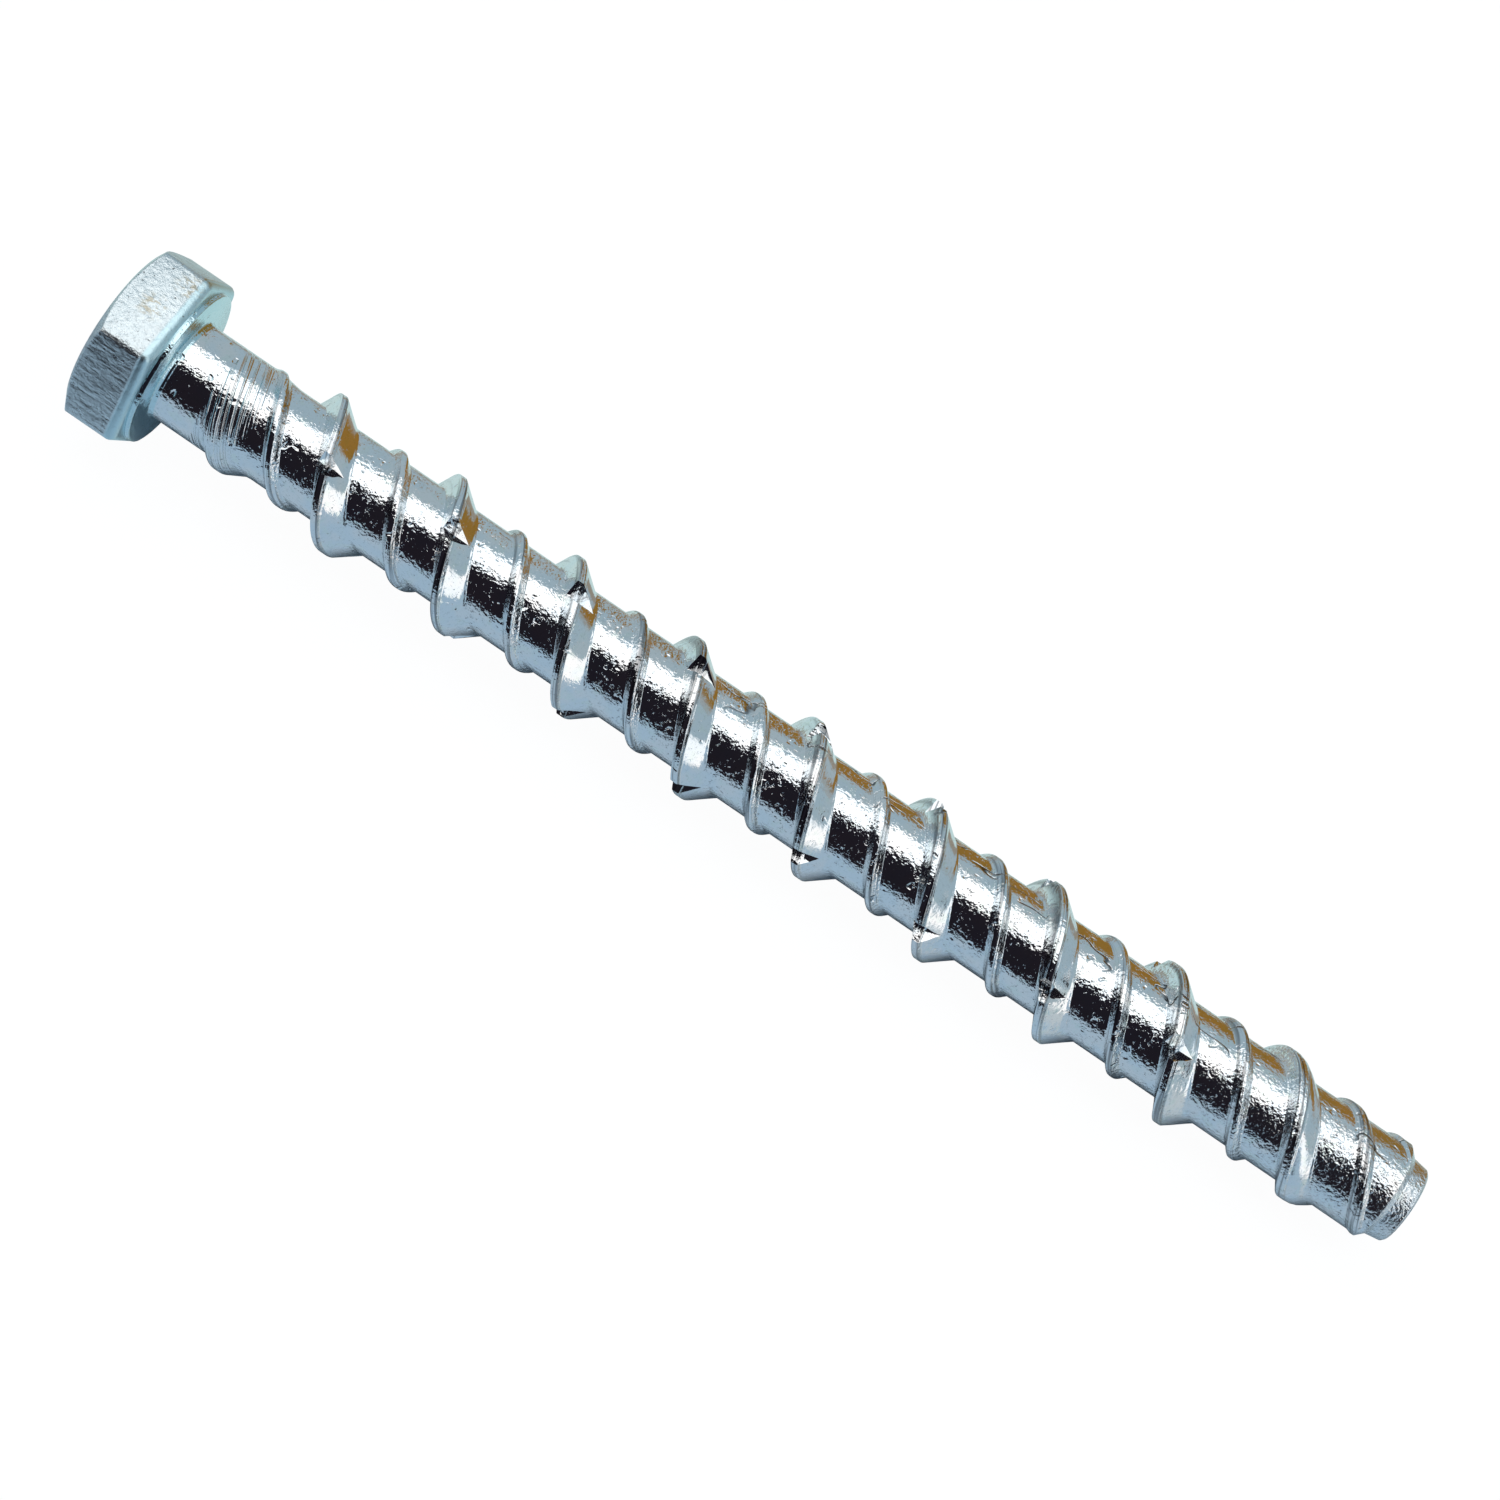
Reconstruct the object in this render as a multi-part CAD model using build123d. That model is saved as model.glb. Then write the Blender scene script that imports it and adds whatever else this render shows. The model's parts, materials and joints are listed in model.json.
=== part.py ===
from build123d import *
import os
from math import atan, degrees, radians, tan

# Concrete screw with a hexagon head, forged, thread-rolled and zinc plated as one piece of steel.
# Lengths are in millimetres and angles in degrees.
# The screw is built on its own axis, with z = 0 at the bearing face under the head and +Z towards the tip.
# At the end it is laid down as it comes to rest: on one flat of the head and on the crest of the high thread.

# Head
across_flats = 19.0
head_height = 7.5
top_inset = 0.5
top_chamfer_angle = 30.0
corner_round = 0.5
underside_round = 0.8
washer_diameter = 17.8
washer_height = 0.6
washer_edge = 0.2

# Shank and core
length = 150.0
shank_diameter = 11.15
shank_length = 8.5
shank_taper_length = 3.0
head_fillet = 0.6
core_diameter = 10.35

# Blunt tip, turned down and slightly conical
tip_length = 1.9
tip_base_diameter = 9.1
tip_end_diameter = 8.6
tip_shoulder_angle = 45.0
tip_edge = 0.25

# Both threads are right-handed and share one pitch
pitch = 14.6
root_depth = 0.4
sections_in_turn = 16

# High thread, which cuts the concrete. It rises from a little way up the shank, where it drifts off its helix
# towards the tip. Before the tip it falls off, and its crest gets blunt and wide
high_diameter = 14.6
high_crest = 0.7
high_head_flank = 0.8
high_tip_flank = 2.5
high_on_shank = 7.0
high_rise_length = 11.5
high_start_drift = 1.4
high_fall_length = 26.0
high_shoulder_length = 11.0
high_shoulder_drop = 0.55
high_shoulder_crest = 1.4
high_end_crest = 2.0

# Low thread, which guides the screw, follows the high one by part of a pitch
low_diameter = 12.0
low_crest = 0.6
low_head_flank = 0.6
low_tip_flank = 0.8
low_lag = 8.15
low_on_shank = 5.5
low_rise_length = 7.0
low_fall_length = 9.1

# Where the high thread stands in its turn: the crest is at this angle when it is at this height
phase_angle = 204.4
phase_height = 4.3

# Notches in the high thread
notch_first_turn = 0.99
notch_spacing = 114.9
notch_floor = 0.45
notch_half_angle = 35.0
notch_side_room = 0.3

# Room that cutting tools have past the metal that they remove
overrun = 2.0

core_radius = core_diameter / 2
shank_radius = shank_diameter / 2
high_radius = high_diameter / 2
low_radius = low_diameter / 2
buried = core_radius - 0.15
tip_start = length - tip_length


def along(stations, z):
    """Radius, width and drift of a crest at a height z, on straight lines between the stations."""
    for start, end in zip(stations, stations[1:]):
        if z <= end[0]:
            share = (z - start[0]) / (end[0] - start[0])
            return [a + (b - a) * share for a, b in zip(start[1:], end[1:])]
    return stations[-1][1:]


def crest_angle(z, lag=0.0):
    """Angle about the axis at which a crest stands at a height z."""
    return phase_angle + 360 * (z - lag - phase_height) / pitch


def thread(stations, head_flank, tip_flank, lag=0.0):
    """Ridge with its root sunk in the core, lofted turn by turn through trapezoid sections."""
    z_first = stations[0][0]
    z_last = stations[-1][0]
    count = round((z_last - z_first) / pitch * sections_in_turn)
    sections = []
    for i in range(count + 1):
        z = z_first + (z_last - z_first) * i / count
        out = Vector(1, 0, 0).rotate(Axis.Z, crest_angle(z, lag))
        crest_radius, crest, drift = along(stations, z)
        corners = [
            (core_radius - root_depth, z + drift - crest / 2 - head_flank),
            (crest_radius, z + drift - crest / 2),
            (crest_radius, z + drift + crest / 2),
            (core_radius - root_depth, z + drift + crest / 2 + tip_flank),
        ]
        sections.append(Wire.make_polygon([out * r + Vector(0, 0, h) for r, h in corners], close=True))
    starts = range(0, count, sections_in_turn)
    return [Solid.make_loft(sections[i:i + sections_in_turn + 1]) for i in starts]


# Hexagon with rounded corners, a chamfered top and a rounded lower edge
underside = -washer_height
hexagon = RegularPolygon(radius=across_flats / 2, side_count=6, major_radius=False, rotation=30)
head = Pos(0, 0, -head_height) * extrude(hexagon, amount=head_height - washer_height)
head = fillet(head.edges().filter_by(Axis.Z), corner_round)
head = fillet(head.faces().sort_by(Axis.Z)[-1].edges(), underside_round)
top_radius = across_flats / 2 - top_inset
cone_reach = across_flats
cone = Plane.XZ * make_face(Polyline(
    (0, -head_height),
    (top_radius, -head_height),
    (top_radius + cone_reach, -head_height + cone_reach * tan(radians(top_chamfer_angle))),
    (0, -head_height + cone_reach * tan(radians(top_chamfer_angle))),
    close=True,
))
head = head & revolve(cone, Axis.Z)

# Washer face, fillet, shank and core, revolved in one profile that runs on past the tip
washer_radius = washer_diameter / 2
outline = Polyline(
    (0, underside - underside_round),
    (washer_radius, underside - underside_round),
    (washer_radius, -washer_edge),
    (washer_radius - washer_edge, 0),
    (shank_radius + head_fillet, 0),
)
outline += RadiusArc((shank_radius + head_fillet, 0), (shank_radius, head_fillet), head_fillet)
outline += Polyline(
    (shank_radius, head_fillet),
    (shank_radius, shank_length),
    (core_radius, shank_length + shank_taper_length),
    (core_radius, length + overrun),
    (0, length + overrun),
    (0, underside - underside_round),
)
rod = revolve(Plane.XZ * make_face(outline), Axis.Z)

# The two threads rise out of the shank and sink back into the core before the tip
high_start = shank_length - high_on_shank
high_full_to = length - high_fall_length
high_stations = [
    (high_start, buried, high_crest, high_start_drift),
    (high_start + high_rise_length, high_radius, high_crest, 0),
    (high_full_to, high_radius, high_crest, 0),
    (length - high_shoulder_length, high_radius - high_shoulder_drop, high_shoulder_crest, 0),
    (length, buried, high_end_crest, 0),
]
low_start = shank_length - low_on_shank
low_stations = [
    (low_start, buried, low_crest, 0),
    (low_start + low_rise_length, low_radius, low_crest, 0),
    (tip_start - low_fall_length, low_radius, low_crest, 0),
    (tip_start, buried, low_crest, 0),
]
high_thread = thread(high_stations, high_head_flank, high_tip_flank)
low_thread = thread(low_stations, low_head_flank, low_tip_flank, low_lag)
screw = rod + high_thread + low_thread

# Blunt tip: all that lies outside its cone and past its end face is turned away
shoulder = high_radius + overrun - tip_base_diameter / 2
tip_waste = Plane.XZ * make_face(Polyline(
    (high_radius + overrun, tip_start - shoulder / tan(radians(tip_shoulder_angle))),
    (tip_base_diameter / 2, tip_start),
    (tip_end_diameter / 2, length - tip_edge),
    (tip_end_diameter / 2 - tip_edge, length),
    (0, length),
    (0, length + 2 * overrun),
    (high_radius + overrun, length + 2 * overrun),
    close=True,
))
screw = screw - revolve(tip_waste, Axis.Z)

# V notches across the high thread, each with its floor parallel to the axis
notch_height = high_radius + overrun - core_radius - notch_floor
notch_half_width = notch_height * tan(radians(notch_half_angle))
notch_length = high_head_flank + high_crest + high_tip_flank + 2 * notch_side_room
notch = Pos(core_radius + notch_floor, 0, -high_crest / 2 - high_head_flank - notch_side_room) * extrude(
    make_face(Polyline((0, 0), (notch_height, notch_half_width), (notch_height, -notch_half_width), close=True)),
    amount=notch_length,
)
notches = []
notch_z = phase_height + notch_first_turn * pitch
while notch_z <= high_full_to:
    notches.append(Pos(0, 0, notch_z) * Rot(0, 0, crest_angle(notch_z)) * notch)
    notch_z += pitch * notch_spacing / 360
screw = screw - notches
screw = screw + head

# At rest the lower flat of the head and one crest of the high thread touch the ground
seat_z = underside - underside_round
turns = range(int(length / pitch))
low_points = [phase_height + pitch * (turn + (360 - phase_angle) / 360) for turn in turns]
rest_slope = max((along(high_stations, z)[0] - across_flats / 2) / (z - seat_z) for z in low_points)
rest_tilt = degrees(atan(-rest_slope))
laid = Rot(0, 90 + rest_tilt, 0) * screw
box = laid.bounding_box()
laid = Pos(-box.center().X, -box.center().Y, -box.min.Z) * laid

os.makedirs("parts", exist_ok=True)
export_step(laid, "parts/concrete_screw.step")
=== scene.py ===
import json
from math import acos, atan2, ceil, cos, floor, hypot, pi, radians, sin, tan

import bpy
from mathutils import Matrix, Vector


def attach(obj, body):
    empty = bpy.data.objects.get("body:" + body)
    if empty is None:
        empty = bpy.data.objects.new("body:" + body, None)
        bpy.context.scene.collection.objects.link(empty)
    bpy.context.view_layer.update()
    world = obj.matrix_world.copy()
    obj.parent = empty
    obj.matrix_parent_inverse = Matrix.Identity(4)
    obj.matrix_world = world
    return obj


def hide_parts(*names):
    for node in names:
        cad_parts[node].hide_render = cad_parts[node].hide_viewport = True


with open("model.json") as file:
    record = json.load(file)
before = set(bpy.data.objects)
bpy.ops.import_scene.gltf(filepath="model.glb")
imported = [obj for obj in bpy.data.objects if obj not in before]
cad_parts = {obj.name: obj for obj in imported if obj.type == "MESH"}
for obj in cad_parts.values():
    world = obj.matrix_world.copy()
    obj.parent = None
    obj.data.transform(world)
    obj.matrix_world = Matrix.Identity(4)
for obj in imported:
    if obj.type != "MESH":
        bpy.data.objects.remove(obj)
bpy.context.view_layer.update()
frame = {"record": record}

# Camera. It stands where the photograph was taken from: above the middle of the screw and a little in
# front of it, rolled so that the head lies at the upper left. Its long lens keeps the sides nearly parallel.
camera_place = (0.01067, -0.14262, 0.32824)
camera_turn = (21.390, -11.639, 32.153)
camera_lens = 83.1

bpy.ops.object.camera_add(location=camera_place, rotation=[radians(a) for a in camera_turn])
camera = bpy.context.object
camera.name = "camera"
camera.data.lens = camera_lens
camera.data.sensor_width = 36.0
camera.data.clip_start = 0.01
camera.data.clip_end = 20.0
bpy.context.scene.camera = camera
bpy.context.scene.view_settings.view_transform = "Standard"


# Studio. A plain white floor lies under the screw, and the light is a soft white ceiling that leans to the
# far side. The metal mirrors a dark room behind the camera, grey-blue walls, a warm board beyond the screw
# and a window past its tip. Only within a centimetre of the screw does it mirror the floor itself.
class Value:
    """One value in a node tree. An expression on values adds the Math nodes that work it out."""

    def __init__(self, tree, socket=None):
        self.tree = tree
        self.socket = socket

    def node(self, kind, settings=None, sockets=None, output=0):
        """A new node of that kind. Its settings are made first, then the values or links of its sockets."""
        new = self.tree.nodes.new("ShaderNode" + kind)
        for name, setting in (settings or {}).items():
            if name == "stops":
                ramp = new.color_ramp.elements
                for place, shade in setting[len(ramp):]:
                    ramp.new(place)
                for stop, (place, shade) in zip(ramp, setting):
                    stop.position = place
                for stop, (place, shade) in zip(ramp, setting):
                    stop.color = (*shade, 1.0) if isinstance(shade, tuple) else (shade, shade, shade, 1.0)
            elif name == "interpolation":
                new.color_ramp.interpolation = setting
            else:
                setattr(new, name, setting)
        for name, given in (sockets or {}).items():
            into = next(s for s in new.inputs if s.identifier == name)
            if isinstance(given, Value):
                self.tree.links.new(given.socket, into)
            elif isinstance(given, tuple) and into.type == "RGBA":
                into.default_value = (*given, 1.0)
            else:
                into.default_value = given
        return Value(self.tree, new.outputs[output] if new.outputs else None)

    def output(self, name):
        """Another output of the node that this value comes from."""
        return Value(self.tree, self.socket.node.outputs[name])

    def maths(self, operation, *terms):
        """A Math node on up to three values or numbers."""
        names = ("Value", "Value_001", "Value_002")
        return self.node("Math", {"operation": operation}, dict(zip(names, terms)))

    def __add__(self, other):
        return self.maths("ADD", self, other)

    __radd__ = __add__

    def __sub__(self, other):
        return self.maths("SUBTRACT", self, other)

    def __rsub__(self, other):
        return self.maths("SUBTRACT", other, self)

    def __mul__(self, other):
        return self.maths("MULTIPLY", self, other)

    __rmul__ = __mul__

    def __truediv__(self, other):
        return self.maths("DIVIDE", self, other)

    def between(self, low, high):
        """0 below low, 1 above high and a smooth rise from one to the other."""
        sockets = {"Value": self, "From Min": low, "From Max": high}
        return self.node("MapRange", {"interpolation_type": "SMOOTHSTEP"}, sockets)


def blended(paint, share, first, second):
    """The first colour where share is 0, the second where it is 1."""
    sockets = {"Factor_Float": share, "A_Color": first, "B_Color": second}
    return paint.node("Mix", {"data_type": "RGBA"}, sockets, output=2)


def strip(value, low, high, blur=1.5):
    """1 where the value is between low and high and 0 outside, with soft edges."""
    return value.between(low - blur, low + blur) * (1.0 - value.between(high - blur, high + blur))


# Lean is 0 straight up, negative to the far side and positive to the camera's side, and azimuth is 0 to the
# far side and 90 to the tip, both in degrees.
ceiling_white = (1.45, 1.45, 1.45)
ceiling_from = -39.0
ceiling_to = 10.0
dark_room = (0.013, 0.011, 0.016)
dark_to = 93.0
wall_blue = (0.36, 0.455, 0.51)
wall_from = -75.0
board_brown = (0.28, 0.15, 0.03)
board_from = -131.0
board_azimuth = (-3.6, 58.0)
board_rises_from = 8.0
board_rise = 0.9
board_far_edge = -118.0
board_low_share = 0.6
board_blur = 2.0
board_side_blur = 0.8
board_fades = (44.0, 53.0)
board_faded = 0.75
paper_blue = (0.37, 0.49, 0.60)
paper_green = (0.56, 0.72, 0.72)
paper_turns = (-30.0, 30.0)
end_wall_at = 0.6
end_wall_blur = 0.1
end_paper_blur = 10.0
end_paper_from = (113.0, 117.0)
window_azimuth = (94.0, 115.0)
window_blurs = (1.5, 1.0)
window_slant = 0.12
window_upright_at = 28.0
window_fades = (97.0, 113.0)
window_faded = 0.8
window_white = (1.15, 1.15, 1.15)
page_white = (1.0, 1.0, 1.0)

world = bpy.data.worlds.new("studio")
bpy.context.scene.world = world
world.use_nodes = True
world.node_tree.nodes.clear()
sky = Value(world.node_tree)
ray = sky.node("SeparateXYZ", {}, {"Vector": sky.node("TexCoord")})
to_tip, to_back, up = ray.output("X"), ray.output("Y"), ray.output("Z")
lean = sky.maths("ARCTAN2", to_back * -1.0, up) * (180 / pi)
azimuth = sky.maths("ARCTAN2", to_tip, to_back) * (180 / pi)

light = blended(sky, lean.between(*paper_turns), paper_green, paper_blue)
light = blended(sky, strip(lean, board_from, ceiling_from), light, wall_blue)
board_lean = lean - sky.maths("MAXIMUM", azimuth - board_rises_from, 0.0) * board_rise
board = strip(board_lean, board_from, 0.0, board_blur)
board = board * (1.0 - lean.between(wall_from - board_blur, wall_from + board_blur))
board = board * (1.0 - azimuth.between(*board_fades) * board_faded)
light = blended(sky, board * strip(azimuth, *board_azimuth, board_side_blur), light, board_brown)
light = blended(sky, strip(lean, board_from, board_far_edge) * board_low_share, light, board_brown)
end_light = blended(sky, lean.between(wall_from, wall_from + end_paper_blur), light, wall_blue)
end_light = blended(sky, azimuth.between(*end_paper_from), end_light, paper_blue)
window_from = azimuth - (lean - window_upright_at) * window_slant
near_side, far_side = window_azimuth
near_blur, far_blur = window_blurs
window = window_from.between(near_side - near_blur, near_side + near_blur)
window = window * (1.0 - azimuth.between(far_side - far_blur, far_side + far_blur))
window = window * (1.0 - lean.between(*window_fades) * window_faded)
end_light = blended(sky, window, end_light, window_white)
light = blended(sky, strip(lean, ceiling_from, ceiling_to), light, ceiling_white)
light = blended(sky, strip(lean, ceiling_to, dark_to), light, dark_room)
on_end_wall = to_tip.between(end_wall_at - end_wall_blur, end_wall_at + end_wall_blur)
light = blended(sky, on_end_wall, light, end_light)
surroundings = sky.node("Background", {}, {"Color": light})
page = sky.node("Background", {}, {"Color": page_white})
seen_by_camera = sky.node("LightPath", output="Is Camera Ray")
sky_shown = sky.node("MixShader", {}, {"Fac": seen_by_camera, "Shader": surroundings, "Shader_001": page})
sky.node("OutputWorld", {}, {"Surface": sky_shown})

floor_size = 6.0
floor_pale = (0.50, 0.60, 0.68)
page_share = 0.88
page_strength = 1.10
mirrored_within = (0.005, 0.011)
bpy.ops.mesh.primitive_plane_add(size=floor_size, location=(0, 0, 0))
floor_plane = bpy.context.object
floor_plane.name = "floor"
floor_look = bpy.data.materials.new("pale_floor")
floor_look.use_nodes = True
floor_look.node_tree.nodes.clear()
paper = Value(floor_look.node_tree)
paper_shown = paper.node("MixShader", {}, {
    "Fac": paper.node("LightPath", output="Is Camera Ray") * page_share,
    "Shader": paper.node("BsdfDiffuse", {}, {"Color": floor_pale}),
    "Shader_001": paper.node("Emission", {}, {"Color": page_white, "Strength": page_strength}),
})
floor_place = paper.node("SeparateXYZ", {}, {"Vector": paper.node("TexCoord", output="Object")})
from_screw = paper.maths("ABSOLUTE", floor_place.output("Y"))
not_mirrored = paper.node("LightPath", output="Is Glossy Ray") * from_screw.between(*mirrored_within)
paper_shown = paper.node("MixShader", {}, {
    "Fac": not_mirrored,
    "Shader": paper_shown,
    "Shader_001": paper.node("BsdfTransparent"),
})
paper.node("OutputMaterial", {}, {"Surface": paper_shown})
floor_plane.data.materials.append(floor_look)

# Screw, threads. Both are rolled into one piece of wire: a coarse high one that cuts the concrete, and a low
# one a little over half a turn behind it that guides the screw. Their common profile is drawn once over one
# pitch, turned into coils, and faded out at both ends.
mm = 0.001
length = 150.0
pitch = 14.6
core_radius = 5.175
shank_radius = 5.575
shank_length = 8.3
taper_length = 3.4
high_radius = 7.3
high_crest = 0.7
high_head_flank = 0.8
high_tip_flank = 2.5
low_radius = 6.0
low_crest = 0.6
low_head_flank = 0.6
low_tip_flank = 0.8
low_lag = 8.15
crest_round = 0.1
low_crest_round = 0.3
root_round = 0.15
phase_angle = 204.4
phase_height = 4.3
profile_start = -2.3
longest_step = 0.9
arc_step = radians(30)
steps_in_turn = 120
turns = 12
threads_from = 2.1
threads_to = length + 1.0
high_stations = [
    (2.2, 0.0), (4.6, 0.2), (8.0, 0.6), (10.8, 0.87), (13.5, 1.0),
    (124.0, 1.0), (132.0, 0.86), (139.0, 0.76), (146.4, 0.3), (149.5, 0.0),
]
start_drift = 1.8
start_drift_until = 12.5
drift_stretched = 1.1
drift_pressed = 3.8
low_stations = [(3.2, 0.0), (10.0, 1.0), (139.0, 1.0), (147.3, 0.35), (149.0, 0.0)]
gap_between_ridges = 1.0
blunted_most = 0.5
blunted_by_loss = 2.0
foot_blend = 0.08
merge_within = 0.001
cut_within = 0.0001


def rounded(corners):
    """The chain through corners of (height, radius, rounding), with each rounding as an arc."""
    chain = []
    for i, (height, radius, rounding) in enumerate(corners):
        here = Vector((height, radius))
        if rounding == 0:
            chain.append(here)
            continue
        back = (Vector(corners[i - 1][:2]) - here).normalized()
        ahead = (Vector(corners[i + 1][:2]) - here).normalized()
        turn = pi - acos(back.dot(ahead))
        middle = here + (back + ahead).normalized() * rounding / cos(turn / 2)
        first = (here + back * rounding * tan(turn / 2) - middle).normalized()
        last = (here + ahead * rounding * tan(turn / 2) - middle).normalized()
        count = ceil(turn / arc_step)
        chain += [middle + first.slerp(last, k / count) * rounding for k in range(count + 1)]
    return chain


def divided(chain, longest):
    """The chain with its long straight runs cut into equal steps."""
    points = [chain[0]]
    for start, end in zip(chain, chain[1:]):
        count = ceil((end - start).length / longest)
        points += [start.lerp(end, k / count) for k in range(1, count + 1)]
    return points


def select_none():
    """Leaves edit mode if need be, with nothing selected."""
    if bpy.context.object and bpy.context.object.mode == "EDIT":
        bpy.ops.object.mode_set(mode="OBJECT")
    bpy.ops.object.select_all(action="DESELECT")


def drawn_chain(name, points):
    """A new object whose mesh is the chain of points, each extruded from the one before."""
    select_none()
    bpy.ops.mesh.primitive_plane_add(size=mm)
    made = bpy.context.object
    made.name = name
    bpy.ops.object.mode_set(mode="EDIT")
    bpy.ops.mesh.select_all(action="SELECT")
    bpy.ops.mesh.merge(type="CENTER")
    bpy.ops.transform.translate(value=points[0])
    for start, end in zip(points, points[1:]):
        bpy.ops.mesh.extrude_region_move(TRANSFORM_OT_translate={"value": end - start})
    bpy.ops.object.mode_set(mode="OBJECT")
    return made


def extruded_rings(rings, from_height, from_radius):
    """Extrudes the selected ring of edges through rings of (height, radius) about the screw's axis."""
    for height, radius in rings:
        step = (0, 0, (height - from_height) * mm)
        bpy.ops.mesh.extrude_region_move(TRANSFORM_OT_translate={"value": step})
        share = radius / from_radius
        bpy.ops.transform.resize(value=(share, share, 1), center_override=(0, 0, height * mm))
        from_height, from_radius = height, radius


def share_at(stations, height):
    """How much of a ridge stands at that height, on straight lines between stations of (height, share)."""
    for (low, first), (high, last) in zip(stations, stations[1:]):
        if height < high:
            return max(0.0, first + (last - first) * max(0.0, height - low) / (high - low))
    return 0.0


def apply_modifier(piece, kind, **settings):
    """Adds a modifier with its settings and applies it."""
    modifier = piece.modifiers.new(kind.lower(), kind)
    for name, setting in settings.items():
        setattr(modifier, name, setting)
    bpy.context.view_layer.objects.active = piece
    bpy.ops.object.modifier_apply(modifier=modifier.name)


low_foot = low_lag - low_crest / 2 - low_head_flank
corners = [
    (profile_start, core_radius, 0),
    (-high_crest / 2 - high_head_flank, core_radius, root_round),
    (-high_crest / 2, high_radius, crest_round),
    (high_crest / 2, high_radius, crest_round),
    (high_crest / 2 + high_tip_flank, core_radius, root_round),
    (low_foot, core_radius, root_round),
    (low_foot + low_head_flank, low_radius, low_crest_round),
    (low_foot + low_head_flank + low_crest, low_radius, low_crest_round),
    (low_foot + low_head_flank + low_crest + low_tip_flank, core_radius, root_round),
    (profile_start + pitch, core_radius, 0),
]
profile = divided(rounded(corners), longest_step)
start_angle = radians(phase_angle)
start_height = phase_height - pitch
body = drawn_chain("zinc_plated_screw", [
    Vector((radius * cos(start_angle), radius * sin(start_angle), start_height + height)) * mm
    for height, radius in profile
])
apply_modifier(
    body, "SCREW", axis="Z", angle=2 * pi, screw_offset=pitch * mm, iterations=turns,
    steps=steps_in_turn, render_steps=steps_in_turn,
)
bpy.ops.object.mode_set(mode="EDIT")
bpy.ops.mesh.select_all(action="SELECT")
bpy.ops.mesh.remove_doubles(threshold=merge_within * mm)
bpy.ops.object.mode_set(mode="OBJECT")

high_height = high_radius - core_radius
high_foot = -high_crest / 2 - high_head_flank
high_end = high_crest / 2 + high_tip_flank
for vertex in body.data.vertices:
    place = vertex.co / mm
    radius = hypot(place.x, place.y)
    turn = (atan2(place.y, place.x) / (2 * pi) - phase_angle / 360) % 1.0
    turn += floor((place.z - phase_height - profile_start + merge_within) / pitch - turn)
    crest = phase_height + pitch * turn
    rise = max(0.0, radius - core_radius)
    on_high = place.z - crest < low_foot - gap_between_ridges
    if crest < start_drift_until:
        before_ridge = (high_foot - place.z + crest) / drift_stretched
        after_ridge = (place.z - crest - high_end) / drift_pressed
        moved = max(0.0, 1 - max(0.0, before_ridge, after_ridge))
        vertex.co.z += start_drift * (1 - max(crest, 0.0) / start_drift_until) * moved * mm
    share = share_at(high_stations, crest) if on_high else share_at(low_stations, crest + low_lag)
    if crest < length / 2:
        rise *= share
    else:
        blunted = min(blunted_most, blunted_by_loss * (1 - share))
        flat = high_height * share if on_high else (low_radius - core_radius) * share
        rise = (rise + flat - hypot(rise - flat, blunted * rise)) / 2
    taper = min(1.0, max(0.0, (place.z - shank_length) / taper_length))
    base = shank_radius + (core_radius - shank_radius) * taper * taper * (3 - 2 * taper)
    ridge = core_radius + rise
    blended_radius = (base + ridge + hypot(base - ridge, foot_blend) - foot_blend) / 2
    new_radius = base if rise == 0 else max(base, blended_radius)
    vertex.co.x *= new_radius / radius
    vertex.co.y *= new_radius / radius

bpy.ops.object.mode_set(mode="EDIT")
bpy.ops.mesh.select_all(action="SELECT")
bpy.ops.mesh.bisect(
    plane_co=(0, 0, threads_to * mm), plane_no=(0, 0, 1), clear_outer=True, use_fill=True,
    threshold=cut_within * mm,
)
bpy.ops.mesh.select_all(action="SELECT")
bpy.ops.mesh.bisect(
    plane_co=(0, 0, threads_from * mm), plane_no=(0, 0, 1), clear_inner=True, threshold=cut_within * mm,
)

# Screw, neck and washer face. The plain shank runs up to the head in a small fillet, and a flat round face
# stands out from the underside of the hexagon to bear on the work. Both grow from the end of the threads.
head_fillet = 0.6
washer_radius = 8.9
washer_height = 0.6
washer_edge = 0.2
washer_edge_middle = 0.06
washer_rooted = 0.9
fillet_steps = 4
neck = [(head_fillet, shank_radius)]
for k in range(1, fillet_steps + 1):
    part = pi / 2 * k / fillet_steps
    neck.append((head_fillet * (1 - sin(part)), shank_radius + head_fillet * (1 - cos(part))))
neck += [
    (0, washer_radius - washer_edge),
    (-washer_edge_middle, washer_radius - washer_edge_middle),
    (-washer_edge, washer_radius),
    (-washer_height - washer_rooted, washer_radius),
]
extruded_rings(neck, threads_from, shank_radius)
bpy.ops.mesh.edge_face_add()
bpy.ops.mesh.select_all(action="SELECT")
bpy.ops.mesh.normals_make_consistent(inside=False)
bpy.ops.object.mode_set(mode="OBJECT")

# Screw, tip. The blank was sheared and its end pressed a little conical, with a 45 degree shoulder that cuts
# off both threads. The form of the end is a turned solid, and what stands out of it is taken off.
tip_start = 148.1
tip_base_radius = 4.55
tip_end_radius = 4.3
tip_edge = 0.25
form_radius = 12.0
form_start = -5.0
form_sides = 144
select_none()
bpy.ops.mesh.primitive_circle_add(
    vertices=form_sides, radius=form_radius * mm, location=(0, 0, form_start * mm), fill_type="NGON",
)
bpy.ops.object.transform_apply(location=True, rotation=True, scale=True)
tip_form = bpy.context.object
bpy.ops.object.mode_set(mode="EDIT")
bpy.ops.mesh.select_all(action="SELECT")
extruded_rings([
    (tip_start - form_radius + tip_base_radius, form_radius),
    (tip_start, tip_base_radius),
    (length - tip_edge, tip_end_radius),
    (length, tip_end_radius - tip_edge),
], form_start, form_radius)
bpy.ops.mesh.select_all(action="SELECT")
bpy.ops.mesh.normals_make_consistent(inside=False)
bpy.ops.object.mode_set(mode="OBJECT")
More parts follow.
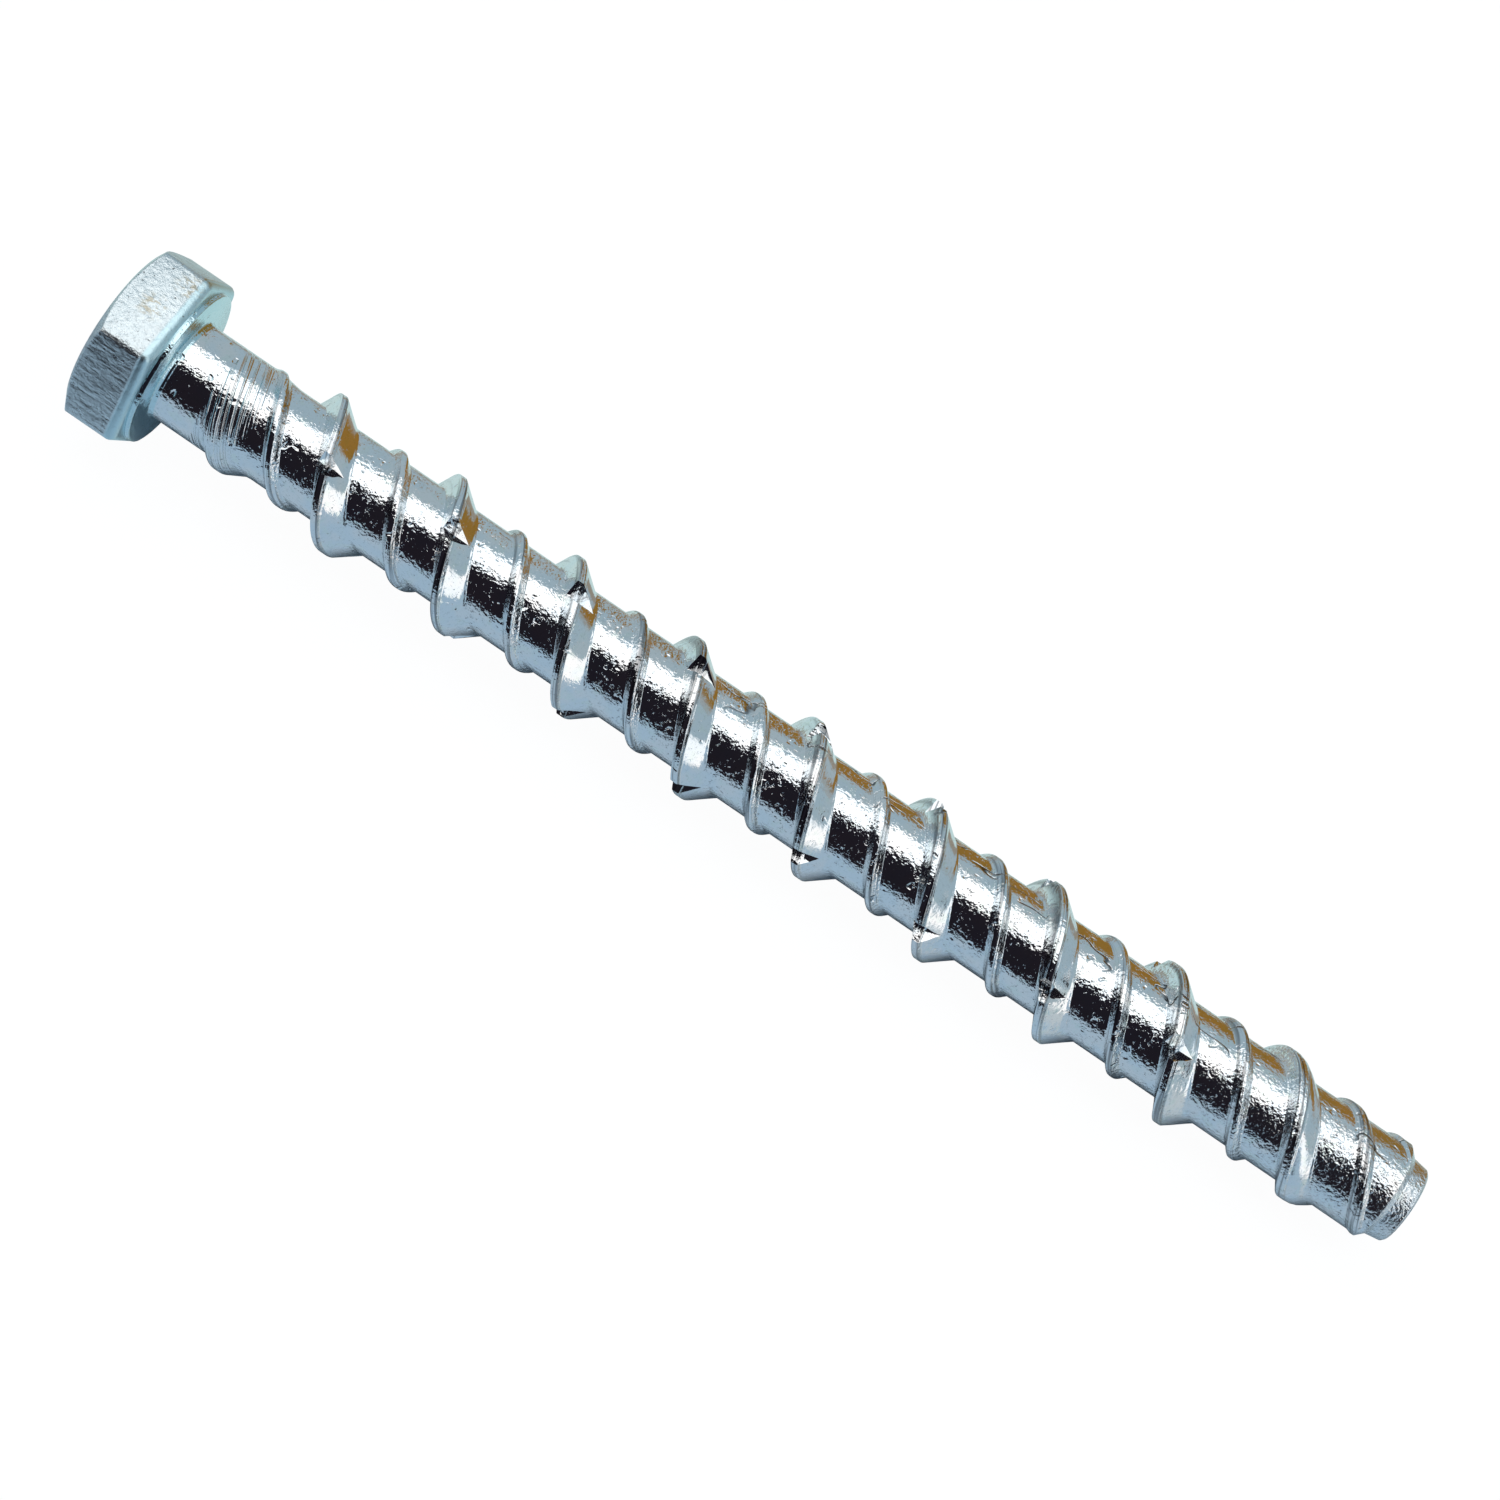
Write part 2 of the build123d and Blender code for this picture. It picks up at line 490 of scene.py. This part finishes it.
apply_modifier(body, "BOOLEAN", operation="INTERSECT", object=tip_form, solver="EXACT")
bpy.data.objects.remove(tip_form)

# Screw, notches. V cuts stamped across the high thread, about three to a turn, give it saw teeth. Their
# floors lie parallel to the axis, just above the core, and no two of them came out quite the same.
notch_first_turn = 0.99
notch_spacing = 114.9
notch_floor = 0.45
notch_half_angle = 35.0
notch_height = 2.6
notch_room = 0.3
notch_last_at = 124.0
notch_cuts = 3
notch_uneven = 0.15
notch_seed = 7
notch_width_varies = 0.10
notch_depth_varies = 0.10
notch_slip_varies = 1.5
width_wave, depth_wave, slip_wave = 2.4, 3.9, 5.1
# A few notches stand off their place in the row by this many degrees
notch_slips = {9: 5.0, 16: 8.0, 22: -6.0}
# A three-sided cylinder is this many times its radius high, and its base has this half angle
triangle_height = 1.5
triangle_half_angle = 30.0
tools = []
notch_turn = notch_first_turn
while phase_height + notch_turn * pitch <= notch_last_at:
    number = len(tools)
    wide = 1 + notch_width_varies * sin(width_wave * number)
    deep = notch_depth_varies * cos(depth_wave * number)
    slip = notch_slips.get(number, notch_slip_varies * sin(slip_wave * number)) / 360
    angle = radians(phase_angle + 360 * (notch_turn + slip))
    size = notch_height / triangle_height
    stretch = wide * tan(radians(notch_half_angle)) / tan(radians(triangle_half_angle))
    out = core_radius + notch_floor + deep + size
    along = phase_height + (notch_turn + slip) * pitch + (high_tip_flank - high_head_flank) / 2
    select_none()
    bpy.ops.mesh.primitive_cylinder_add(
        vertices=3, radius=size * mm,
        depth=(high_head_flank + high_crest + high_tip_flank + 2 * notch_room) * mm,
        location=(out * cos(angle) * mm, out * sin(angle) * mm, along * mm),
        rotation=(0, 0, angle + pi / 2),
        scale=(stretch, 1, 1),
    )
    bpy.ops.object.transform_apply(location=True, rotation=True, scale=True)
    bpy.ops.object.mode_set(mode="EDIT")
    bpy.ops.mesh.select_all(action="SELECT")
    bpy.ops.mesh.subdivide(number_cuts=notch_cuts)
    bpy.ops.transform.vertex_random(offset=notch_uneven * mm, seed=notch_seed + number)
    bpy.ops.object.mode_set(mode="OBJECT")
    tools.append(bpy.context.object)
    notch_turn += notch_spacing / 360
for tool in tools:
    tool.select_set(True)
bpy.context.view_layer.objects.active = tools[0]
bpy.ops.object.join()
notch_tools = bpy.context.object
apply_modifier(body, "BOOLEAN", operation="DIFFERENCE", object=notch_tools, solver="EXACT")
bpy.data.objects.remove(notch_tools)

# Screw, head. A hexagon for a 19 mm socket, forged with rounded corners and a rolled lower edge, and
# chamfered at 30 degrees round its top. It grows into the washer face that the shank carries.
across_flats = 19.0
head_height = 7.5
corner_round = 0.8
underside_round = 0.8
top_inset = 0.5
top_chamfer_angle = 30.0
edge_round = 0.12
sharp_from = 28.0
underside_steps = 5
corner_steps = 3
slack = 0.01
select_none()
bpy.ops.mesh.primitive_cylinder_add(
    vertices=6, radius=across_flats / 2 / cos(radians(30)) * mm, depth=(head_height - washer_height) * mm,
    location=(0, 0, -(head_height + washer_height) / 2 * mm),
)
bpy.ops.object.transform_apply(location=True, rotation=True, scale=True)
head = bpy.context.object
bpy.ops.object.mode_set(mode="EDIT")
bpy.ops.mesh.select_mode(type="EDGE")
bpy.ops.mesh.select_all(action="DESELECT")
bpy.ops.object.mode_set(mode="OBJECT")


def select_edges(piece, wanted):
    """Selects the edges of a piece whose two ends are as wanted, in millimetres, and opens edit mode."""
    for edge in piece.data.edges:
        ends = [piece.data.vertices[v].co / mm for v in edge.vertices]
        edge.select = wanted(*ends)
    bpy.ops.object.mode_set(mode="EDIT")


def at_corner(point):
    """Whether a point lies in line with a corner of the hexagon."""
    return abs(cos(3 * atan2(point.y, point.x))) < 0.001


select_edges(head, lambda a, b: min(a.z, b.z) > -washer_height - slack)
bpy.ops.mesh.bevel(offset=underside_round * mm, segments=underside_steps, affect="EDGES")
bpy.ops.mesh.select_all(action="DESELECT")
bpy.ops.object.mode_set(mode="OBJECT")
select_edges(head, lambda a, b: at_corner(a) and at_corner(b) and abs(a.z - b.z) > slack)
bpy.ops.mesh.bevel(offset=corner_round * tan(radians(30)) * mm, segments=corner_steps, affect="EDGES")
bpy.ops.object.mode_set(mode="OBJECT")

top_radius = across_flats / 2 - top_inset
select_none()
bpy.ops.mesh.primitive_circle_add(
    vertices=form_sides, radius=top_radius * mm, location=(0, 0, -head_height * mm), fill_type="NGON",
)
bpy.ops.object.transform_apply(location=True, rotation=True, scale=True)
top_form = bpy.context.object
bpy.ops.object.mode_set(mode="EDIT")
bpy.ops.mesh.select_all(action="SELECT")
reach = across_flats
rise = reach * tan(radians(top_chamfer_angle))
extruded_rings([(-head_height + rise, top_radius + reach)], -head_height, top_radius)
bpy.ops.mesh.select_all(action="SELECT")
bpy.ops.mesh.normals_make_consistent(inside=False)
bpy.ops.object.mode_set(mode="OBJECT")
apply_modifier(head, "BOOLEAN", operation="INTERSECT", object=top_form, solver="EXACT")
bpy.data.objects.remove(top_form)
apply_modifier(
    head, "BEVEL", width=edge_round * mm, segments=2, limit_method="ANGLE", angle_limit=radians(sharp_from),
)
apply_modifier(body, "BOOLEAN", operation="UNION", object=head, solver="EXACT")
bpy.data.objects.remove(head)

# The finished screw lies as the frame says: its axis passes through the middle of the hexagon
hexagon = next(m for m in frame["record"]["mounts"] if m["name"] == "hexagon")
toward_tip = -Vector(hexagon["axis"])
bearing = Vector(hexagon["pos_m"]) + toward_tip * (head_height + washer_height) / 2 * mm
lying = Matrix.Translation(bearing) @ Matrix.Rotation(atan2(toward_tip.x, toward_tip.z), 4, "Y")
body.data.transform(lying)

smooth_angle = 32.0
select_none()
body.select_set(True)
bpy.context.view_layer.objects.active = body
bpy.ops.object.shade_smooth_by_angle(angle=radians(smooth_angle))

# Screw, finish. Bright zinc plate with a faint blue passivation. The rolled core shines like a mirror, with a
# fine orange peel, pits and laps. The forged head is matt, streaked along its sides and has two brown stains.
zinc_blue = (0.80, 0.86, 0.90)
zinc_green = (0.80, 0.87, 0.84)
zinc_pale = (0.88, 0.88, 0.88)
head_zinc = (0.70, 0.78, 0.81)
under_zinc = (0.60, 0.80, 0.86)
stain_brown = (0.40, 0.33, 0.19)
head_stains = [(-9.5, 3.7, -2.3), (-9.5, -0.2, -4.0)]
pit_dark = (0.05, 0.05, 0.055)
core_roughness = 0.06
head_roughness = 0.25
peel_fine = 0.095
peel_coarse = 0.045
speck_height = 0.04
dent_depth = 0.12
pit_depth = 0.06
lap_depth = 0.10
crest_line_height = 0.10
first_line_height = 0.14
ring_height = 0.09
forge_grain_height = 0.16
forge_streak_height = 0.13
dark_crest_lines = 0.65
dark_laps = 0.85
dark_pits = 0.8
dark_grain = 0.2
dark_forge_streaks = 0.5
stain_share = 0.65
roughness_varies = 0.06
tip_roughness = 0.06
stub_roughness = 0.12
end_roughness = 0.12
under_roughness = 0.1
# Zones lie along the axis. Each pair is where a zone starts to fade in or out and where that is done
threads_zone = (6.0, 14.0)
tip_end_zone = (112.0, 146.0)
laps_zone = (50.0, 74.0)
first_lines_in = (4.8, 5.6)
first_lines_out = (8.8, 10.8)

plate = bpy.data.materials.new("bright_zinc_plate")
plate.use_nodes = True
plate.node_tree.nodes.clear()
zinc = Value(plate.node_tree)
back = lying.inverted()
place = zinc.node("Mapping", {}, {
    "Vector": zinc.node("TexCoord", output="Object"),
    "Scale": (1 / mm,) * 3,
    "Rotation": back.to_euler(),
    "Location": back.translation / mm,
})
parts = zinc.node("SeparateXYZ", {}, {"Vector": place})
across, over, along = parts.output("X"), parts.output("Y"), parts.output("Z")
turned = zinc.maths("ARCTAN2", over, across) * (1 / (2 * pi))


def grain(scale, detail=3.0, roughness=0.55, stretch=(1, 1, 1)):
    """Noise from 0 to 1 with so many waves to a millimetre."""
    vector = zinc.node("Mapping", {}, {"Vector": place, "Scale": stretch}) if stretch != (1, 1, 1) else place
    sockets = {"Vector": vector, "Scale": scale, "Detail": detail, "Roughness": roughness}
    return zinc.node("TexNoise", {}, sockets)


def streaks(lead, fine, coarse, start=0.0):
    """Noise drawn out along a helix of that lead, with so many streaks to a millimetre across it."""
    lap = zinc.maths("FRACT", (along - start) * (1 / lead) - turned)
    sockets = {"X": lap * (lead * fine), "Y": across * coarse, "Z": over * coarse + along * (0.5 * coarse)}
    vector = zinc.node("CombineXYZ", {}, sockets)
    return zinc.node("TexNoise", {}, {"Vector": vector, "Scale": 1.0, "Detail": 2.0, "Roughness": 0.5}), lap


on_head = 1.0 - along.between(-washer_height + 0.05, -washer_height + 0.15)
to_tip_end = along.between(*tip_end_zone)
on_stub = along.between(tip_start - 1.6, tip_start - 0.4)
on_end = along.between(length - 0.12, length - 0.04)
thread_origin = phase_height + profile_start - pitch * phase_angle / 360
thread_lines, lap = streaks(pitch, 3.2, 0.10, thread_origin)
profile_at = lap * pitch + profile_start
on_crest = 1.0 - zinc.maths("ABSOLUTE", profile_at + 0.1).between(0.45, 0.9)
on_low_crest = 1.0 - zinc.maths("ABSOLUTE", profile_at - low_lag).between(0.6, 1.1)
on_crests = zinc.maths("MAXIMUM", on_crest, on_low_crest) * along.between(*threads_zone) * (1.0 - on_stub)

on_flank = strip(profile_at, 0.55, 2.65, 0.15) * along.between(*threads_zone) * (1.0 - on_stub)
from_top = zinc.maths("ARCTAN2", over, across * -1.0) * (180 / pi)
from_axis = zinc.maths("SQRT", across * across + over * over)
on_upper_core = strip(from_top, 8.0, 68.0, 6.0)
on_top_flat = strip(from_top, -31.0, 31.0, 3.0)
under_head = along.between(-1.9, -1.5)
on_washer = strip(along, -0.75, 0.65, 0.1)
on_ring = on_washer * (1.0 - from_axis.between(washer_radius - 0.05, washer_radius + 0.05))

speckle = grain(2.4, 2.0, 0.5) * peel_fine + grain(0.8, 2.0, 0.5) * peel_coarse
speckle = speckle * (0.80 + to_tip_end * 0.9 + on_stub * 0.5 - on_end * 1.5) * (1.0 - on_upper_core * 0.3)
specks = grain(2.1, 2.0, 0.6).between(0.58, 0.70) * grain(0.4, 1.0).between(0.40, 0.65) * speck_height
specks = specks * along.between(5.0, 13.0) * (1.0 - to_tip_end * 0.4)
dents = grain(0.8, 1.0).between(0.66, 0.80) * dent_depth
pits = grain(2.4, 3.0, 0.7).between(0.65, 0.72) * grain(0.25, 1.0).between(0.42, 0.60)
first_lines = streaks(11.0, 2.4, 0.05)[0].between(0.38, 0.62)
first_zone = along.between(*first_lines_in) * (1.0 - along.between(*first_lines_out))
lap_line = 1.0 - zinc.maths("ABSOLUTE", grain(0.16, 3.0, 0.5, (1, 1, 0.4)) - 0.5).between(0.002, 0.012)
lap_zone = grain(0.2, 1.0).between(0.38, 0.46) * along.between(*laps_zone) * on_upper_core * (1.0 - on_stub)
lap_lines = lap_line * lap_zone
rings = zinc.node("TexNoise", {}, {
    "Vector": zinc.node("CombineXYZ", {}, {"X": from_axis, "Y": along}), "Scale": 2.6, "Detail": 2.0,
})
forge_grain = grain(1.5, 4.0, 0.65) * (1.0 - under_head * 0.6) * forge_grain_height
forge_streaks = grain(2.5, 3.0, 0.65, (1, 1, 0.16)) * (1.0 - on_top_flat * 0.8) * (1.0 - under_head)
core_height = (speckle - specks - dents) * (1.0 - on_flank * 0.8)
core_height = core_height + thread_lines * on_crests * crest_line_height
core_height = core_height + first_lines * first_zone * first_line_height
height = core_height * (1.0 - on_head) + (forge_grain + forge_streaks * forge_streak_height) * on_head
height = height - pits * pit_depth - lap_lines * lap_depth + rings * on_ring * ring_height
bump = zinc.node("Bump", {}, {"Height": height, "Distance": mm, "Strength": 1.0})

color = blended(zinc, grain(0.35, 2.0).between(0.40, 0.62), zinc_blue, zinc_pale)
color = blended(zinc, grain(0.9, 2.0).between(0.50, 0.70) * 0.7, color, zinc_green)
color = blended(zinc, on_head, color, head_zinc)
color = blended(zinc, zinc.maths("MAXIMUM", under_head * on_head, on_washer), color, under_zinc)
for spot in head_stains:
    ends = {"Vector": place, "Vector_001": spot}
    from_spot = zinc.node("VectorMath", {"operation": "DISTANCE"}, ends, output=1)
    smudge = (1.0 - from_spot.between(0.5, 2.1)) * grain(1.9, 3.0, 0.6, (1, 1, 0.6)).between(0.46, 0.62)
    color = blended(zinc, smudge * on_head * stain_share, color, stain_brown)
crest_lines = thread_lines.between(0.44, 0.62) * on_crests * dark_crest_lines
dark_lines = zinc.maths("MAXIMUM", crest_lines, lap_lines * dark_laps)
dark_lines = zinc.maths("MAXIMUM", dark_lines, pits * dark_pits)
dark_lines = zinc.maths("MAXIMUM", dark_lines, grain(3.0, 3.0, 0.7).between(0.52, 0.78) * dark_grain)
dark_streaks = forge_streaks.between(0.50, 0.68) * on_head * dark_forge_streaks
dark_lines = zinc.maths("MAXIMUM", dark_lines, dark_streaks)
color = blended(zinc, dark_lines, color, pit_dark)
matt = core_roughness + grain(0.8, 3.0) * roughness_varies + to_tip_end * tip_roughness
matt = matt + on_stub * stub_roughness + on_end * end_roughness
matt = matt + on_head * (head_roughness - core_roughness) + under_head * on_head * under_roughness
shader = zinc.node("BsdfPrincipled", {}, {
    "Base Color": color, "Metallic": 1.0, "Roughness": matt, "Normal": bump,
})
zinc.node("OutputMaterial", {}, {"Surface": shader})
body.data.materials.clear()
body.data.materials.append(plate)
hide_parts("concrete_screw")
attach(body, "root")
